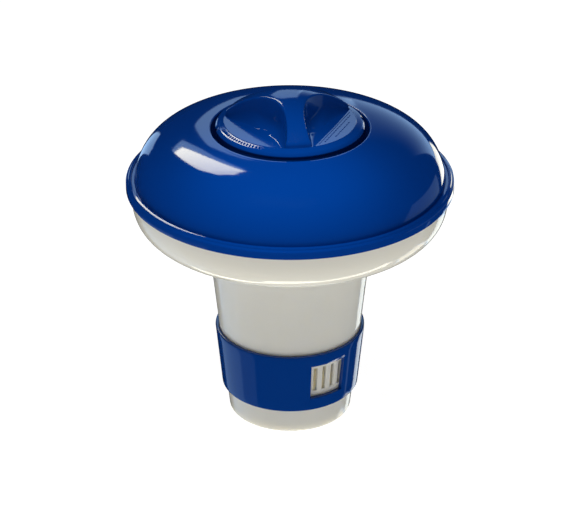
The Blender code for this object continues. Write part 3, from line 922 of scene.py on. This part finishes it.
# Even light on the surfaces, from below the horizon and above it, the rises where it changes,
# and how much more comes from the left
FILL_BELOW = 1.22
FILL_ABOVE = 0.16
FILL_CHANGE = (-4.0, 2.0)
FILL_LEFT_SHARE = 0.3

# Lamps: each stands at a bearing and a rise in degrees and a distance in metres from its target
SOFTBOX_POWER = 7.5
SOFTBOX_SIZE = (0.8, 0.6)
SOFTBOX_STAND = (-20.0, 78.0, 1.3)
SPOT_POWER = 28.0
SPOT_ANGLE = 6.0
SPOT_SOURCE_RADIUS = 0.015
SPOT_TINT = (0.85, 1.0, 0.93)
SPOT_TARGET = (-0.004, -0.044, 0.119)
SPOT_STAND = (-5.0, 74.0, 1.0)
FLOOR_SIZE = 6.0

# The photograph's viewing angle
CAMERA_LENS = 153.5
CAMERA_PLACE = Vector((0.0, -0.8606, 0.5203))
CAMERA_TARGET = Vector((0.0, 0.0, 0.0653))


def math_node(tree, operation, first, second=None):
    node = node_at(tree, "ShaderNodeMath", operation=operation)
    for index, value in enumerate((first, second)):
        if value is None:
            continue
        if isinstance(value, (int, float)):
            node.inputs[index].default_value = value
        else:
            tree.links.new(value, node.inputs[index])
    return node.outputs["Value"]


def ramp(tree, value, start, end, low=0.0, high=1.0):
    """Smooth step from low to high as a value goes from start to end."""
    node = node_at(tree, "ShaderNodeMapRange", interpolation_type="SMOOTHSTEP")
    tree.links.new(value, node.inputs["Value"])
    for name, number in (("From Min", start), ("From Max", end), ("To Min", low), ("To Max", high)):
        node.inputs[name].default_value = number
    return node.outputs["Result"]


def panel_light(tree, turn, rise, corners, low_light, high_light, softness):
    """Brightness of one panel: inside all of its edges, and graded from its foot to its top."""
    rises = [corner[1] for corner in corners]
    light = ramp(tree, rise, min(rises), max(rises), low_light, high_light)
    for (x, y), (next_x, next_y) in zip(corners, corners[1:] + corners[:1]):
        length = math.hypot(next_x - x, next_y - y)
        across_x, across_y = (y - next_y) / length, (next_x - x) / length
        offset = across_x * x + across_y * y
        distance = math_node(tree, "ADD", math_node(tree, "MULTIPLY", turn, across_x),
                             math_node(tree, "MULTIPLY", rise, across_y))
        edge = ramp(tree, distance, offset - softness / 2, offset + softness / 2)
        light = math_node(tree, "MULTIPLY", light, edge)
    return light


def make_world():
    """Panels for the reflections, an even fill for the rest, and white where the camera looks."""
    world = bpy.data.worlds.new("studio")
    bpy.context.scene.world = world
    world.use_nodes = True
    world.cycles.sampling_method = "NONE"
    tree = world.node_tree
    link = tree.links.new
    place = node_at(tree, "ShaderNodeTexCoord")
    split = node_at(tree, "ShaderNodeSeparateXYZ")
    link(place.outputs["Generated"], split.inputs["Vector"])
    turn = math_node(tree, "ARCTAN2", split.outputs["X"], split.outputs["Y"])
    turn = math_node(tree, "DEGREES", turn)
    rise = math_node(tree, "DEGREES", math_node(tree, "ARCSINE", split.outputs["Z"]))
    light = None
    for _, corners, low_light, high_light, softness in STUDIO_PANELS:
        panel = panel_light(tree, turn, rise, corners, low_light, high_light, softness)
        light = math_node(tree, "ADD", light if light else DARK_ROOM, panel)
    fill = ramp(tree, rise, *FILL_CHANGE, FILL_BELOW, FILL_ABOVE)
    leftwards = math_node(tree, "MULTIPLY", split.outputs["X"], -FILL_LEFT_SHARE)
    fill = math_node(tree, "MULTIPLY", fill, math_node(tree, "ADD", leftwards, 1.0))
    rays = node_at(tree, "ShaderNodeLightPath")
    reflected = node_at(tree, "ShaderNodeMix", data_type="RGBA")
    link(fill, reflected.inputs["A"])
    link(rays.outputs["Is Glossy Ray"], reflected.inputs["Factor"])
    tint = node_at(tree, "ShaderNodeMix", data_type="RGBA")
    tint.inputs["A"].default_value = (*DIM_TINT, 1.0)
    tint.inputs["B"].default_value = (*BRIGHT_TINT, 1.0)
    link(ramp(tree, light, *TINT_CHANGE), tint.inputs["Factor"])
    tinted = node_at(tree, "ShaderNodeVectorMath", operation="SCALE")
    link(tint.outputs["Result"], tinted.inputs[0])
    link(light, tinted.inputs["Scale"])
    link(tinted.outputs["Vector"], reflected.inputs["B"])
    seen = node_at(tree, "ShaderNodeMix", data_type="RGBA")
    seen.inputs["B"].default_value = (1.0, 1.0, 1.0, 1.0)
    link(rays.outputs["Is Camera Ray"], seen.inputs["Factor"])
    link(reflected.outputs["Result"], seen.inputs["A"])
    link(seen.outputs["Result"], tree.nodes["Background"].inputs["Color"])


def aim_lamp(data, target, bearing, rise, distance):
    """Stand a lamp off from a target and turn it to face it; it stays out of the reflections."""
    lamp = bpy.data.objects.new(data.name, data)
    bpy.context.scene.collection.objects.link(lamp)
    turn, rise = math.radians(bearing), math.radians(rise)
    towards = Vector((math.sin(turn) * math.cos(rise), -math.cos(turn) * math.cos(rise), math.sin(rise)))
    lamp.location = Vector(target) + towards * distance
    lamp.rotation_euler = towards.to_track_quat("Z", "Y").to_euler()
    lamp.visible_glossy = False
    lamp.visible_camera = False


def make_key_lights():
    """A broad overhead softbox, and a gridded spot on the front of the crown."""
    softbox = bpy.data.lights.new("key_softbox", "AREA")
    softbox.shape = "RECTANGLE"
    softbox.size, softbox.size_y = SOFTBOX_SIZE
    softbox.energy = SOFTBOX_POWER
    aim_lamp(softbox, (0.0, 0.0, SHELL_HIGH.z * MM), *SOFTBOX_STAND)
    spot = bpy.data.lights.new("crown_spot", "SPOT")
    spot.energy = SPOT_POWER
    spot.spot_size = math.radians(SPOT_ANGLE)
    spot.spot_blend = 1.0
    spot.shadow_soft_size = SPOT_SOURCE_RADIUS
    spot.color = SPOT_TINT
    aim_lamp(spot, SPOT_TARGET, *SPOT_STAND)


def make_floor():
    """A pale floor, softly lit from below, so that it shows as white with a faint contact shadow."""
    bm = bmesh.new()
    bmesh.ops.create_grid(bm, x_segments=8, y_segments=8, size=FLOOR_SIZE / 2)
    mesh = bpy.data.meshes.new("studio_floor")
    bm.to_mesh(mesh)
    bm.free()
    floor = bpy.data.objects.new("studio_floor", mesh)
    bpy.context.scene.collection.objects.link(floor)
    floor.visible_glossy = False
    material = bpy.data.materials.new("studio_floor_look")
    material.use_nodes = True
    tree = material.node_tree
    shader = tree.nodes["Principled BSDF"]
    shader.inputs["Roughness"].default_value = 0.9
    shader.inputs["Specular IOR Level"].default_value = 0.0
    shader.inputs["Emission Color"].default_value = (1.0, 1.0, 1.0, 1.0)
    shader.inputs["Emission Strength"].default_value = 0.9
    place = node_at(tree, "ShaderNodeTexCoord")
    noise = node_at(tree, "ShaderNodeTexNoise")
    noise.inputs["Scale"].default_value = 3.0
    tone = node_at(tree, "ShaderNodeMix", data_type="RGBA")
    tone.inputs["A"].default_value = (0.40, 0.40, 0.40, 1.0)
    tone.inputs["B"].default_value = (0.42, 0.42, 0.42, 1.0)
    tree.links.new(place.outputs["Object"], noise.inputs["Vector"])
    tree.links.new(noise.outputs["Fac"], tone.inputs["Factor"])
    tree.links.new(tone.outputs["Result"], shader.inputs["Base Color"])
    mesh.materials.append(material)


def make_studio():
    bpy.context.scene.view_settings.view_transform = "Standard"
    make_key_lights()
    make_floor()
    make_world()


def make_camera():
    data = bpy.data.cameras.new("camera")
    data.lens = CAMERA_LENS
    data.sensor_width = 36.0
    camera = bpy.data.objects.new("camera", data)
    bpy.context.scene.collection.objects.link(camera)
    camera.location = CAMERA_PLACE
    camera.rotation_euler = (CAMERA_PLACE - CAMERA_TARGET).to_track_quat("Z", "Y").to_euler()
    bpy.context.scene.camera = camera


make_camera()
make_top_shell()
make_bottom_shell()
make_canister()
make_flow_ring()
make_cap()
make_cap_marks()
make_threads()
make_seals()
make_studio()
